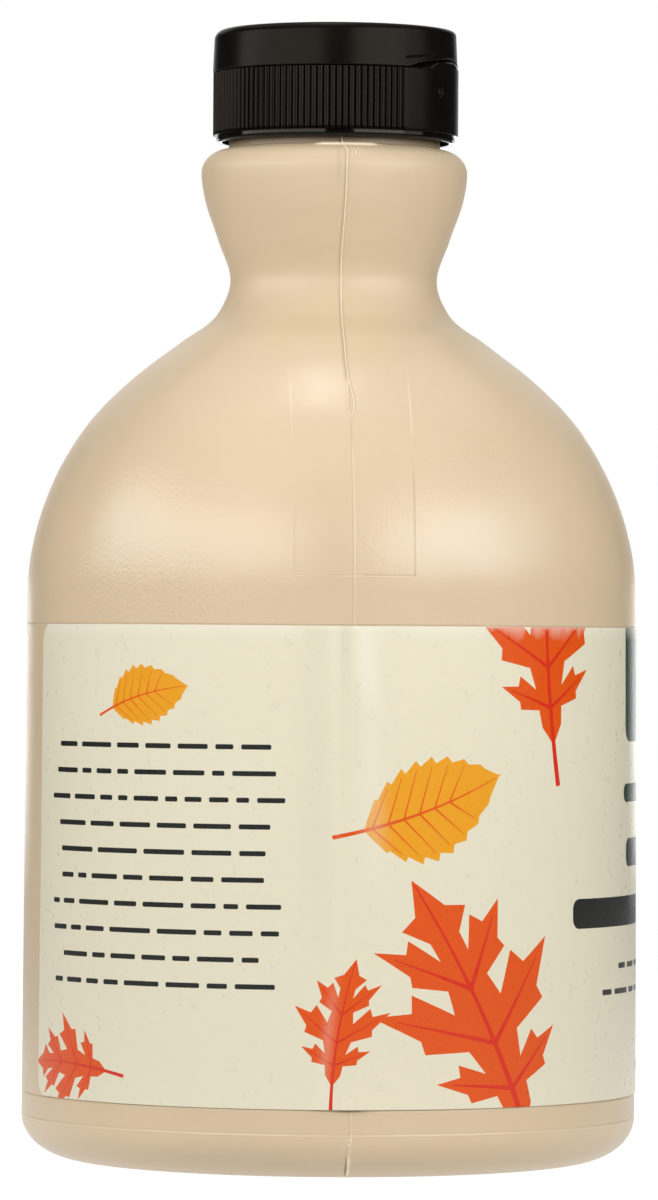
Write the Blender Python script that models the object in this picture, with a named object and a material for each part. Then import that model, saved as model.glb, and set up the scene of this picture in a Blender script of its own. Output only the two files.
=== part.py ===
"""A one-litre-class maple syrup jug: a blow-moulded plastic jug with a finger-loop handle, a black flip-top cap
and a wrap-round label. +Z is up, the front of the label faces -Y and the handle is on the +X side."""

import math

import bmesh
import bpy

MM = 0.001

# Jug body, heights from the floor and radii from the axis
WALL_LOW_HEIGHT = 7.2 * MM
WALL_LOW_RADIUS = 50.4 * MM
FOOT_OUTER_RADIUS = 40.9 * MM
FOOT_INNER_RADIUS = 36.5 * MM
PUSH_UP_DEPTH = 3.0 * MM
PUSH_UP_RADIUS = 31.0 * MM
NECK_RADIUS = 17.4 * MM
NECK_TOP_HEIGHT = 176.4 * MM
COLLAR_HEIGHT = 161.9 * MM
COLLAR_RADIUS = 21.9 * MM
COLLAR_TOP_HEIGHT = 165.8 * MM
WAIST_HEIGHT = 143.7 * MM
WAIST_RADIUS = 17.0 * MM
WALL_TOP_HEIGHT = 93.0 * MM
WALL_TOP_RADIUS = 50.0 * MM
JUG_SIDES = 80
SLEEK_STEPS = 3
CORNER_STEPS = 6

# Handle, one loop in the plane of the mould's parting line
HANDLE_TOP_REACH = 28.0 * MM
HANDLE_TOP_HEIGHT = 157.2 * MM
HANDLE_REACH = 42.5 * MM
HANDLE_FOOT_REACH = 39.5 * MM
HANDLE_FOOT_HEIGHT = 117.0 * MM
HANDLE_WIDTH = 15.0 * MM
HANDLE_DEPTH = 10.4 * MM
HANDLE_ROOT_SWELL = 1.25
HANDLE_SIDES = 16
HANDLE_STEPS = 4

# Cap
CAP_RADIUS = 20.1 * MM
CAP_RIB_DEPTH = 0.35 * MM
CAP_BAND_RADIUS = 19.3 * MM
CAP_BORE_RADIUS = 18.4 * MM
CAP_LOW_HEIGHT = 167.5 * MM
CAP_RIBS_LOW_HEIGHT = 168.4 * MM
CAP_JOINT_HEIGHT = 178.6 * MM
CAP_TOP_HEIGHT = 185.4 * MM
CAP_DECK = 1.8 * MM
RIB_PITCH = math.radians(3.0)
THUMB_PANEL_HALF_ANGLE = math.radians(58.5)
THUMB_RISE = 1.2 * MM
LID_LOW_RADIUS = 19.95 * MM
LID_HIGH_RADIUS = 19.6 * MM
LID_EDGE_ROUNDING = 1.6 * MM
ROUND_SIDES = 80

# Label
LABEL_LOW_HEIGHT = 11.3 * MM
LABEL_TALL = 76.2 * MM
LABEL_HALF_ANGLE = math.radians(162.0)
LABEL_CORNER = 2.8 * MM
LABEL_THICKNESS = 0.25 * MM
LABEL_COLUMNS = 72

# Gap kept between pieces that touch
CLEARANCE = 0.3 * MM
LABEL_CLEARANCE = 0.15 * MM

JUG_COLOUR = (0.69, 0.53, 0.36, 1.0)
CAP_COLOUR = (0.012, 0.011, 0.009, 1.0)
LABEL_COLOUR = (0.83, 0.78, 0.58, 1.0)


def clear_scene():
    for obj in list(bpy.data.objects):
        bpy.data.objects.remove(obj, do_unlink=True)


def make_material(name, colour, roughness):
    material = bpy.data.materials.new(name)
    material.use_nodes = True
    shader = material.node_tree.nodes["Principled BSDF"]
    shader.inputs["Base Color"].default_value = colour
    shader.inputs["Roughness"].default_value = roughness
    shader.inputs["Metallic"].default_value = 0.0
    return material


def add_object(name, bm, material=None, smooth_below=40.0):
    """Makes an object of the bmesh, with its normals out and its round faces shaded smooth."""
    bmesh.ops.recalc_face_normals(bm, faces=bm.faces)
    mesh = bpy.data.meshes.new(name)
    bm.to_mesh(mesh)
    bm.free()
    obj = bpy.data.objects.new(name, mesh)
    bpy.context.scene.collection.objects.link(obj)
    mesh.shade_smooth()
    mesh.set_sharp_from_angle(angle=math.radians(smooth_below))
    if material:
        mesh.materials.append(material)
    return obj


def as_helper(obj):
    """Keeps a cutter or a joined shape out of the render: another object's Boolean reads it."""
    obj.hide_render = True
    obj.display_type = "WIRE"
    return obj


def add_boolean(obj, other, operation):
    modifier = obj.modifiers.new(f"{operation.lower()} {other.name}", "BOOLEAN")
    modifier.operation = operation
    modifier.solver = "EXACT"
    modifier.object = other


def sleek_curve(stations, steps, start_slope=None, end_slope=None):
    """Points of a smooth curve through the stations, its speed measured by the length of each stretch."""
    spans = [math.dist(a, b) for a, b in zip(stations, stations[1:])]
    rates = [[(q - p) / span for p, q in zip(a, b)] for a, b, span in zip(stations, stations[1:], spans)]
    slopes = [start_slope or rates[0]]
    for before, after, span_before, span_after in zip(rates, rates[1:], spans, spans[1:]):
        share = span_before / (span_before + span_after)
        slopes.append([p * (1 - share) + q * share for p, q in zip(before, after)])
    slopes.append(end_slope or rates[-1])
    points = []
    for i, span in enumerate(spans):
        for step in range(steps):
            t = step / steps
            weights = (
                2 * t**3 - 3 * t**2 + 1,
                (t**3 - 2 * t**2 + t) * span,
                3 * t**2 - 2 * t**3,
                (t**3 - t**2) * span,
            )
            parts = zip(stations[i], slopes[i], stations[i + 1], slopes[i + 1])
            points.append(tuple(sum(w * p for w, p in zip(weights, part)) for part in parts))
    return points + [tuple(stations[-1])]


def corner_arc(centre, half_width, half_height, start, end, steps):
    """Points along part of an ellipse in the outline's plane, from one angle in degrees to another."""
    angles = [math.radians(start + (end - start) * i / steps) for i in range(steps + 1)]
    return [
        (centre[0] + half_width * math.cos(angle), centre[1] + half_height * math.sin(angle))
        for angle in angles
    ]


def revolve(outline, sides):
    """A closed turned solid from (radius, height) points that run from axis to axis."""
    bm = bmesh.new()
    first = bm.verts.new((0, 0, outline[0][1]))
    last = bm.verts.new((0, 0, outline[-1][1]))
    angles = [math.tau * i / sides for i in range(sides)]
    rings = [
        [bm.verts.new((radius * math.cos(a), radius * math.sin(a), height)) for a in angles]
        for radius, height in outline[1:-1]
    ]
    close_rings(bm, rings, first, last)
    return bm


def close_rings(bm, rings, first, last):
    """Skins a row of rings with the same number of points, and fans its two ends to a point."""
    sides = len(rings[0])
    for low, high in zip(rings, rings[1:]):
        for i in range(sides):
            j = (i + 1) % sides
            bm.faces.new((low[i], low[j], high[j], high[i]))
    for ring, point in ((rings[0], first), (rings[-1], last)):
        for i in range(sides):
            bm.faces.new((ring[i], ring[(i + 1) % sides], point))


def jug_outline():
    """(radius, height) points of the jug, from the middle of its underside to the middle of its neck's top."""
    heel_width = WALL_LOW_RADIUS - FOOT_OUTER_RADIUS
    heel = corner_arc(
        (FOOT_OUTER_RADIUS, WALL_LOW_HEIGHT), heel_width, WALL_LOW_HEIGHT, -90, 0, CORNER_STEPS
    )
    shoulder_and_waist = sleek_curve(
        (
            (WALL_TOP_RADIUS, WALL_TOP_HEIGHT),
            (48.4 * MM, 104.0 * MM),
            (44.6 * MM, 113.5 * MM),
            (39.5 * MM, 121.3 * MM),
            (32.8 * MM, 128.0 * MM),
            (25.0 * MM, 134.0 * MM),
            (19.2 * MM, 138.5 * MM),
            (WAIST_RADIUS, WAIST_HEIGHT),
            (19.1 * MM, 151.0 * MM),
            (21.3 * MM, 157.6 * MM),
            (COLLAR_RADIUS, COLLAR_HEIGHT),
        ),
        SLEEK_STEPS,
        start_slope=(0, 1),
        end_slope=(0, 1),
    )
    collar_top = corner_arc(
        (NECK_RADIUS, COLLAR_HEIGHT),
        COLLAR_RADIUS - NECK_RADIUS,
        COLLAR_TOP_HEIGHT - COLLAR_HEIGHT,
        0,
        90,
        CORNER_STEPS,
    )
    return [
        (0, PUSH_UP_DEPTH),
        (PUSH_UP_RADIUS, PUSH_UP_DEPTH * 0.8),
        (FOOT_INNER_RADIUS, 0),
        *heel,
        *shoulder_and_waist,
        *collar_top[1:],
        (NECK_RADIUS, NECK_TOP_HEIGHT),
        (0, NECK_TOP_HEIGHT),
    ]


def handle_loop():
    """The handle's own closed shape: rounded cross-sections along one curve, its two ends inside the jug."""
    route = sleek_curve(
        (
            (13.0 * MM, 155.5 * MM),
            (HANDLE_TOP_REACH, HANDLE_TOP_HEIGHT),
            (HANDLE_REACH - 3.0 * MM, 152.0 * MM),
            (HANDLE_REACH, 142.0 * MM),
            (HANDLE_REACH, 130.0 * MM),
            (HANDLE_FOOT_REACH, HANDLE_FOOT_HEIGHT),
            (34.0 * MM, 108.0 * MM),
        ),
        HANDLE_STEPS,
    )
    bm = bmesh.new()
    rings = []
    for i, (reach, height) in enumerate(route):
        before, after = route[max(i - 1, 0)], route[min(i + 1, len(route) - 1)]
        along = (after[0] - before[0], after[1] - before[1])
        length = math.hypot(*along)
        outward = (-along[1] / length, along[0] / length)
        middle = abs(2 * i / (len(route) - 1) - 1)
        swell = 1 + (HANDLE_ROOT_SWELL - 1) * middle**2
        ring = []
        for side in range(HANDLE_SIDES):
            angle = math.tau * side / HANDLE_SIDES
            across = HANDLE_WIDTH / 2 * swell * math.sin(angle)
            out = HANDLE_DEPTH / 2 * swell * math.cos(angle)
            ring.append(bm.verts.new((reach + outward[0] * out, across, height + outward[1] * out)))
        rings.append(ring)
    ends = [bm.verts.new((reach, 0, height)) for reach, height in (route[0], route[-1])]
    close_rings(bm, rings, *ends)
    return bm


def make_jug(material):
    jug = add_object("jug", revolve(jug_outline(), JUG_SIDES), material)
    handle = as_helper(add_object("handle_shape", handle_loop()))
    add_boolean(jug, handle, "UNION")
    return jug


def from_front(angle, radius, height):
    """The point at this angle round from the front, which is -Y."""
    return (radius * math.sin(angle), -radius * math.cos(angle), height)


def rib_outline():
    """(angle from the front, radius) round the ribbed wall, with the smooth thumb panel at the front."""
    panel_steps = 24
    points = []
    for i in range(panel_steps):
        angle = THUMB_PANEL_HALF_ANGLE * (2 * i / panel_steps - 1)
        points.append((angle, CAP_RADIUS))
    ribs = round((math.tau - 2 * THUMB_PANEL_HALF_ANGLE) / RIB_PITCH)
    for rib in range(ribs):
        start = THUMB_PANEL_HALF_ANGLE + rib * RIB_PITCH
        for share, radius in (
            (0.0, CAP_RADIUS),
            (0.3, CAP_RADIUS - CAP_RIB_DEPTH),
            (0.7, CAP_RADIUS - CAP_RIB_DEPTH),
        ):
            points.append((start + share * RIB_PITCH, radius))
    return points


def make_cap_skirt(material):
    """The cap's base: a ribbed wall over a smooth band, with the bore that takes the jug's neck."""
    bm = bmesh.new()
    rings = [
        [bm.verts.new(from_front(angle, radius, height)) for angle, radius in rib_outline()]
        for height in (CAP_RIBS_LOW_HEIGHT, CAP_JOINT_HEIGHT)
    ]
    ends = [bm.verts.new((0, 0, height)) for height in (CAP_RIBS_LOW_HEIGHT, CAP_JOINT_HEIGHT)]
    close_rings(bm, rings, *ends)
    skirt = add_object("cap_skirt", bm, material)
    overlap = 2 * MM
    band_outline = [
        (0, CAP_LOW_HEIGHT),
        (CAP_BAND_RADIUS, CAP_LOW_HEIGHT),
        (CAP_BAND_RADIUS, CAP_RIBS_LOW_HEIGHT + overlap),
        (0, CAP_RIBS_LOW_HEIGHT + overlap),
    ]
    bore_outline = [
        (0, CAP_LOW_HEIGHT - overlap),
        (CAP_BORE_RADIUS, CAP_LOW_HEIGHT - overlap),
        (CAP_BORE_RADIUS, CAP_JOINT_HEIGHT - CAP_DECK),
        (0, CAP_JOINT_HEIGHT - CAP_DECK),
    ]
    band = as_helper(add_object("band_shape", revolve(band_outline, ROUND_SIDES)))
    bore = as_helper(add_object("bore_cutter", revolve(bore_outline, ROUND_SIDES)))
    add_boolean(skirt, band, "UNION")
    add_boolean(skirt, bore, "DIFFERENCE")
    return skirt


def thumb_rise(angle):
    """How far the lid's lower edge arches up at this angle from the front."""
    share = min(abs(angle) / THUMB_PANEL_HALF_ANGLE, 1.0)
    return THUMB_RISE * (1 + math.cos(math.pi * share)) / 2


def make_cap_lid(material):
    """The shut flip lid: a low disc with a rounded top edge, arched up over the thumb panel."""
    low_height = CAP_JOINT_HEIGHT + CLEARANCE
    arc_centre = (LID_HIGH_RADIUS - LID_EDGE_ROUNDING, CAP_TOP_HEIGHT - LID_EDGE_ROUNDING)
    top_edge = corner_arc(arc_centre, LID_EDGE_ROUNDING, LID_EDGE_ROUNDING, 0, 90, CORNER_STEPS)
    angles = [math.tau * i / ROUND_SIDES - math.pi for i in range(ROUND_SIDES)]
    bm = bmesh.new()
    rings = [
        [bm.verts.new(from_front(a, LID_LOW_RADIUS, low_height + thumb_rise(a))) for a in angles]
    ]
    for radius, height in top_edge:
        rings.append([bm.verts.new(from_front(a, radius, height)) for a in angles])
    ends = [bm.verts.new((0, 0, low_height)), bm.verts.new((0, 0, CAP_TOP_HEIGHT))]
    close_rings(bm, rings, *ends)
    return add_object("cap_lid", bm, material)


def wall_radius(height):
    """The jug's radius on its wall, which tapers a little towards the shoulder."""
    share = (height - WALL_LOW_HEIGHT) / (WALL_TOP_HEIGHT - WALL_LOW_HEIGHT)
    return WALL_LOW_RADIUS + (WALL_TOP_RADIUS - WALL_LOW_RADIUS) * share


def label_columns():
    """(angle, share of the corner's height cut off) for each column, with more of them at the rounded corners."""
    corner_angle = LABEL_CORNER / WALL_LOW_RADIUS
    corner = []
    for step in range(CORNER_STEPS):
        turn = math.pi / 2 * step / CORNER_STEPS
        corner.append((corner_angle * (1 - math.cos(turn)), 1 - math.sin(turn)))
    left = [(-LABEL_HALF_ANGLE + angle, cut) for angle, cut in corner]
    right = [(LABEL_HALF_ANGLE - angle, cut) for angle, cut in reversed(corner)]
    straight = LABEL_HALF_ANGLE - corner_angle
    middle = [(straight * (2 * i / LABEL_COLUMNS - 1), 0.0) for i in range(LABEL_COLUMNS + 1)]
    return left + middle + right


def make_label(material):
    """The wrap label: a thin curved sheet with rounded corners, open at the back of the jug."""
    bm = bmesh.new()
    columns = []
    for angle, cut in label_columns():
        low = LABEL_LOW_HEIGHT + cut * LABEL_CORNER
        high = LABEL_LOW_HEIGHT + LABEL_TALL - cut * LABEL_CORNER
        corners = ((0, low), (LABEL_THICKNESS, low), (LABEL_THICKNESS, high), (0, high))
        columns.append(
            [
                bm.verts.new(from_front(angle, wall_radius(height) + LABEL_CLEARANCE + out, height))
                for out, height in corners
            ]
        )
    for near, far in zip(columns, columns[1:]):
        for i in range(4):
            j = (i + 1) % 4
            bm.faces.new((near[i], near[j], far[j], far[i]))
    for end in (columns[0], columns[-1]):
        bm.faces.new(end)
    return add_object("label", bm, material)


def main():
    clear_scene()
    jug_plastic = make_material("jug plastic", JUG_COLOUR, 0.45)
    cap_plastic = make_material("cap plastic", CAP_COLOUR, 0.4)
    label_film = make_material("label film", LABEL_COLOUR, 0.4)
    make_jug(jug_plastic)
    make_cap_skirt(cap_plastic)
    make_cap_lid(cap_plastic)
    make_label(label_film)


main()
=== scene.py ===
"""The looks of a shut maple syrup jug: tan blow-moulded plastic, a black flip-top cap and a printed wrap
label. Shapes are worked out in millimetres and turned into metres when a mesh is made. +Z is up, the front
of the label faces -Y, the handle is on the +X side and the camera looks from the -X side along the mould's
parting line."""

import math
import random

import bmesh
import bpy
import numpy as np
from mathutils import Matrix, Vector, kdtree
from mathutils.geometry import delaunay_2d_cdt

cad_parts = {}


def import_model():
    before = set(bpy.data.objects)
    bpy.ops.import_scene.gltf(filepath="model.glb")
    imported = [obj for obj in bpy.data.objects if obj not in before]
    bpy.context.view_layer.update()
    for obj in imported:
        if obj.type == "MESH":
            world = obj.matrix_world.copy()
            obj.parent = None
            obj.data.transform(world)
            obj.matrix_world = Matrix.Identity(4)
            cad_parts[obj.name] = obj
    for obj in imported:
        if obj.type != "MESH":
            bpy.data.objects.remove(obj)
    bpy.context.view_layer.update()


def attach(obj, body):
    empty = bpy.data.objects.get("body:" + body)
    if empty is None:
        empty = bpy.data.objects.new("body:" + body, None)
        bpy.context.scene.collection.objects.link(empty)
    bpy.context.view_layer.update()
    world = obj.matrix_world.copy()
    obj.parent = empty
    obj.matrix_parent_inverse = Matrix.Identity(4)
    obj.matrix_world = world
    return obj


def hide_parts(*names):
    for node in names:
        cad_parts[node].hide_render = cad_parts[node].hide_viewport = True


MM = 0.001
# Step over which the slope of a surface is measured
PROBE = 0.05

# Camera, from the curves of the cap's rims and the label's edges in the photograph
IMAGE_TALL = 1200
SENSOR = 36.0
CAMERA_DISTANCE = 1138.0
CAMERA_DISTANCE_PX = 6909.0
CAMERA_TURN = math.radians(3.9)
EYE_LEVEL = 87.5
AIM_HEIGHT = 91.75
AIM_SIDE = 0.39
CAMERA_ROLL = math.radians(0.4)

# Jug body, heights from the floor and radii from the axis
WALL_LOW_HEIGHT = 7.2
WALL_LOW_RADIUS = 50.4
WALL_TOP_HEIGHT = 93.0
WALL_TOP_RADIUS = 50.0
FOOT_OUTER_RADIUS = 40.9
FOOT_INNER_RADIUS = 36.5
PUSH_UP_DEPTH = 3.0
PUSH_UP_RADIUS = 31.0
WAIST_RADIUS = 17.0
WAIST_HEIGHT = 143.7
COLLAR_RADIUS = 21.9
COLLAR_HEIGHT = 161.9
COLLAR_TOP_HEIGHT = 165.8
NECK_RADIUS = 17.4
NECK_TOP_HEIGHT = 176.4
# Radius and height of points up the jug's side, from the top of its wall to its collar
SIDE_STATIONS = (
    (WALL_TOP_RADIUS, WALL_TOP_HEIGHT),
    (48.4, 104.0),
    (44.6, 113.5),
    (39.5, 121.3),
    (32.8, 128.0),
    (25.0, 134.0),
    (19.2, 138.5),
    (WAIST_RADIUS, WAIST_HEIGHT),
    (19.1, 151.0),
    (21.3, 157.6),
    (COLLAR_RADIUS, COLLAR_HEIGHT),
)
# Heights where the spacing of the jug's rows of points changes, and the spacing above each
ROW_STOPS = (WALL_LOW_HEIGHT, 7.7, 10.8, 11.6, 86.6, 87.3, 88.1, 94.9, 95.9, 120.0, 127.0, COLLAR_HEIGHT)
ROW_SPACINGS = (0.1, 0.6, 0.1, 5.0, 0.35, 0.08, 0.7, 0.08, 0.75, 0.16, 0.5)

# Marks of the mould on the jug
SEAM_HEIGHT = 0.24
SEAM_HALF_WIDTH = 0.13
# Heights on the seam, and how far it has drifted towards -Y at each
SEAM_DRIFT = (
    (118.0, 0.25),
    (124.0, 0.28),
    (130.0, 0.0),
    (148.0, 0.05),
    (155.0, 0.4),
    (164.3, 0.65),
    (165.0, 0.5),
    (165.7, -0.05),
)
TAIL_TIP_HEIGHT = 120.9
TAIL_TOP_HEIGHT = 127.2
# Shares of the way up the seam's forked tail, and how far its prongs are from its middle at each
TAIL_SHARES = (0.0, 0.04, 0.1, 0.2, 0.4, 0.62, 0.8, 1.0)
TAIL_HALF_WIDTHS = (0.0, 0.16, 0.32, 0.46, 0.5, 0.32, 0.2, 0.12)
# Face of a mould insert on the shoulder
INSERT_BACK = 9.25
INSERT_FRONT = 9.9
INSERT_LOW_HEIGHT = 95.4
INSERT_TOP_HEIGHT = 131.0
BASE_LINE_HEIGHT = 7.15
LEDGE_HEIGHT = 165.6
# A distance off the seam at which no mark of it shows
FAR_OFF = 9.0

# Handle
HANDLE_TOP_REACH = 28.0
HANDLE_TOP_HEIGHT = 157.2
HANDLE_REACH = 42.5
HANDLE_FOOT_REACH = 39.5
HANDLE_FOOT_HEIGHT = 117.0
HANDLE_WIDTH = 15.0
HANDLE_DEPTH = 10.4
HANDLE_ROOT_SWELL = 1.25
HANDLE_SIDES = 48
HANDLE_STEPS = 16
# Reach and height of points on the handle's middle line
HANDLE_STATIONS = (
    (13.0, 155.5),
    (HANDLE_TOP_REACH, HANDLE_TOP_HEIGHT),
    (HANDLE_REACH - 3.0, 152.0),
    (HANDLE_REACH, 142.0),
    (HANDLE_REACH, 130.0),
    (HANDLE_FOOT_REACH, HANDLE_FOOT_HEIGHT),
    (34.0, 108.0),
)
FILLET_REACH = 7.0
FILLET_PASSES = 5
FILLET_SMOOTHING = 20

# Cap
CAP_RADIUS = 20.2
CAP_RIB_DEPTH = 0.42
CAP_BAND_RADIUS = 19.65
CAP_BORE_RADIUS = 18.75
CAP_LOW_HEIGHT = 167.42
CAP_RING_LOW_HEIGHT = 166.97
CAP_SHIFT = 0.15
LID_SHIFT = 0.05
CAP_RIBS_LOW_HEIGHT = 168.05
CAP_JOINT_HEIGHT = 178.3
CAP_TOP_HEIGHT = 185.4
CAP_DECK = 1.8
RIB_PITCH = math.radians(3.0)
# Shares of a rib's pitch at which its rounded groove has points
RIB_SHARES = (0.0, 0.03, 0.07, 0.12, 0.19, 0.27, 0.36, 0.45, 0.55, 0.64, 0.73, 0.81, 0.88, 0.93, 0.97)
PANEL_HALF_ANGLE = math.radians(59.2)
THUMB_RISE = 1.95
TAB_DROP = 0.95
TAB_HALF_ANGLE = math.radians(26.0)
LIP_INNER_RADIUS = 18.3
LIP_TURNS = (89.9, 86, 80, 72, 64, 55, 46, 37, 28, 19, 11, 5, 0)
# Shares of the way from an end of the thumb panel to its middle, and how round the thumb lip is at each
LIP_SHARES = (0, 0.06, 0.16, 0.28, 0.38, 0.7, 1)
LIP_ROUNDNESS = (0.12, 0.5, 1.3, 1.2, 0.5, 0.3, 0.2)
LID_LOW_RADIUS = 20.17
LID_HIGH_RADIUS = 19.86
LID_FRONT_ROUNDING = 0.85
LID_BACK_ROUNDING = 1.65
LID_GAP = 0.13
LID_TOP_SINK = 0.12
DIMPLE_ANGLE = math.radians(-35.5)
DIMPLE_HEIGHT = 174.7
DIMPLE_DEPTH = 0.45
DIMPLE_RIM = 0.18
# Degrees towards -X from the front, and height, of the ends of the crease in the lid and of its two beads
CREASE_START = (59.3, 179.94)
CREASE_END = (37.8, 180.8)
CREASE_DEPTH = 0.2
CREASE_BEADS = ((41.8, 180.42), (38.6, 180.85))
BEAD_HEIGHT = 0.14

# Label
LABEL_LOW_HEIGHT = 11.3
LABEL_TALL = 76.2
LABEL_HALF_ANGLE = math.radians(162.0)
LABEL_CORNER = 2.8
LABEL_LIFT = 0.05
LABEL_THICKNESS = 0.12
LABEL_HALF_LENGTH = WALL_LOW_RADIUS * LABEL_HALF_ANGLE
LABEL_SEAM = -WALL_LOW_RADIUS * math.pi / 2
LABEL_SEAM_REACH = 7
WORD_GAP = 1.3
WORD_SHORTEST = 2.2
WORD_LONGEST = 8.5

# Stage and lights, with brightness as the object sees it, where 1 is the white of the picture
WORLD_GLOW = 0.03
FLOOR_GLOW = 0.1
FLOOR_HEEL_GLOW = 0.44
FLOOR_GLOSS_GLOW = 0.8
FLOOR_SEEN_GLOW = 0.95
FLOOR_WHITE = 0.33
# Distances from the axis, in metres, between which the floor fades, first its glow under the heel
FLOOR_HEEL_NEAR = 0.048
FLOOR_HEEL_FAR = 0.07
FLOOR_NEAR = 0.15
FLOOR_FAR = 1.0
# The floor lies this far below the jug's foot, so that the two never share a plane
FLOOR_DROP = 0.05
# Degrees to the right of the camera, distance, height, height aimed at, width, tall and brightness of each
# light, with sizes in metres
PANELS = {
    "left_panel": (-36, 0.6, 0.345, 0.345, 0.585, 0.31, 4.1),
    "left_wing": (-81, 0.6, 0.345, 0.345, 0.413, 0.31, 3.95),
    "right_panel": (43, 0.6, 0.345, 0.345, 0.585, 0.31, 5.5),
    "right_wing": (80, 0.6, 0.345, 0.345, 0.233, 0.31, 2.4),
    "top_panel": (-120, 0.075, 1.25, 0.1, 0.27, 0.27, 7.0),
    "ceiling": (0, 0.01, 1.3, 0.1, 2.0, 2.0, 0.85),
    "backdrop": (180, 1.5, 0.6, 0.6, 1.2, 0.96, 0.8),
    "high_backdrop": (180, 1.5, 0.98, 0.98, 2.4, 0.6, 0.45),
    "low_backdrop": (180, 1.5, 0.06, 0.06, 1.4, 0.12, 2.4),
}


def srgb(red, green, blue):
    """A colour of 0 to 255 values as the shader's linear values."""
    def linear(value):
        share = value / 255
        return share / 12.92 if share <= 0.04045 else ((share + 0.055) / 1.055) ** 2.4

    return (linear(red), linear(green), linear(blue), 1.0)


JUG_TAN = srgb(222, 199, 165)
CAP_BLACK = srgb(12, 10, 7)
CAP_SHEEN = (1.0, 0.9, 0.76, 1.0)
PALE_FILM_AND_HIGHLIGHT = srgb(255, 250, 232)
PRINT_COLOURS = {
    "cream": srgb(238, 231, 205),
    "orange": srgb(232, 86, 6),
    "amber": srgb(243, 165, 24),
    "vein_red": srgb(222, 44, 14),
    "green": srgb(10, 46, 20),
    "ink": srgb(24, 26, 22),
    "edge": srgb(246, 243, 228),
}


# Shapes in numbers

def sleek_curve(stations, steps, start_slope=None, end_slope=None):
    """Points of a smooth curve through the stations, its speed measured by the length of each stretch."""
    spans = [math.dist(a, b) for a, b in zip(stations, stations[1:])]
    rates = [[(q - p) / span for p, q in zip(a, b)] for a, b, span in zip(stations, stations[1:], spans)]
    slopes = [start_slope or rates[0]]
    for before, after, span_before, span_after in zip(rates, rates[1:], spans, spans[1:]):
        share = span_before / (span_before + span_after)
        slopes.append([p * (1 - share) + q * share for p, q in zip(before, after)])
    slopes.append(end_slope or rates[-1])
    points = []
    for i, span in enumerate(spans):
        for step in range(steps):
            t = step / steps
            weights = (
                2 * t**3 - 3 * t**2 + 1,
                (t**3 - 2 * t**2 + t) * span,
                3 * t**2 - 2 * t**3,
                (t**3 - t**2) * span,
            )
            parts = zip(stations[i], slopes[i], stations[i + 1], slopes[i + 1])
            points.append(tuple(sum(w * p for w, p in zip(weights, part)) for part in parts))
    return points + [tuple(stations[-1])]


def steps_between(start, stop, spacing):
    """Evenly spaced values from start up to but not including stop."""
    count = max(1, round(abs(stop - start) / spacing))
    return np.linspace(start, stop, count, endpoint=False)


def graded_steps(stops, spacings):
    """Values from the first stop up to but not including the last, each stretch with a spacing of its own."""
    return np.concatenate([steps_between(*stretch) for stretch in zip(stops, stops[1:], spacings)])


def ease(value, low, high):
    """0 below low and 1 above high, with a smooth rise between them."""
    t = np.clip((value - low) / (high - low), 0.0, 1.0)
    return t * t * (3 - 2 * t)


def ease_off(value, low, high):
    """1 below low and 0 above high, with a smooth fall between them."""
    return 1 - ease(value, low, high)


def plateau(value, foot, top, brink, end):
    """1 from top to brink and 0 outside foot and end, with smooth sides."""
    return ease(value, foot, top) * ease_off(value, brink, end)


def hump(distance, half_width):
    """1 at no distance, dying away smoothly over about two half widths."""
    return np.exp(-((distance / half_width) ** 2))


def wall_radius(height):
    """The jug's radius on its wall, which tapers a little towards the shoulder."""
    share = (height - WALL_LOW_HEIGHT) / (WALL_TOP_HEIGHT - WALL_LOW_HEIGHT)
    return WALL_LOW_RADIUS + (WALL_TOP_RADIUS - WALL_LOW_RADIUS) * share


# Meshes

def add_object(name, data):
    """A new object in the scene."""
    obj = bpy.data.objects.new(name, data)
    bpy.context.scene.collection.objects.link(obj)
    return obj


def add_mesh(name, points, faces, materials=(), out=True):
    """A smooth-shaded object of points in millimetres, its faces turned outwards unless out is false."""
    mesh = bpy.data.meshes.new(name)
    mesh.from_pydata((np.asarray(points) * MM).tolist(), [], faces)
    if out:
        bm = bmesh.new()
        bm.from_mesh(mesh)
        bmesh.ops.recalc_face_normals(bm, faces=bm.faces)
        bm.to_mesh(mesh)
        bm.free()
    mesh.shade_smooth()
    for material in materials:
        mesh.materials.append(material)
    return add_object(name, mesh)


def mesh_points(mesh):
    """The mesh's points in millimetres."""
    points = np.empty(len(mesh.vertices) * 3)
    mesh.vertices.foreach_get("co", points)
    return points.reshape(-1, 3) / MM


def add_values(mesh, name, values):
    """Stores a value at each of the mesh's points, for its material to read."""
    attribute = mesh.attributes.new(name, "FLOAT", "POINT")
    attribute.data.foreach_set("value", values.astype(np.float32))


def skin_faces(rows, columns):
    """Faces of a closed skin: rings in order, then one point that closes each end."""
    faces = []
    for row in range(rows - 1):
        low, high = row * columns, (row + 1) * columns
        for i in range(columns):
            j = (i + 1) % columns
            faces.append((low + i, low + j, high + j, high + i))
    first, last = rows * columns, rows * columns + 1
    top = (rows - 1) * columns
    for i in range(columns):
        j = (i + 1) % columns
        faces.append((j, i, first))
        faces.append((top + i, top + j, last))
    return faces


def add_skin(name, rings, first, last, materials=()):
    """A closed skin over an array of rings, shaped (rows, columns, 3), with a point at each end."""
    rows, columns = rings.shape[:2]
    points = np.vstack([rings.reshape(-1, 3), [first], [last]])
    return add_mesh(name, points, skin_faces(rows, columns), materials)


def from_front(angle, radius, height):
    """Points at these angles round from the front, which is -Y."""
    angle, radius, height = np.broadcast_arrays(angle, radius, height)
    return np.stack([radius * np.sin(angle), -radius * np.cos(angle), height], axis=-1)


def from_side(angle, radius, height):
    """Points at these angles round from the jug's plain side, which is -X."""
    angle, radius, height = np.broadcast_arrays(angle, radius, height)
    return np.stack([-radius * np.cos(angle), radius * np.sin(angle), height], axis=-1)


# Materials

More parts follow.
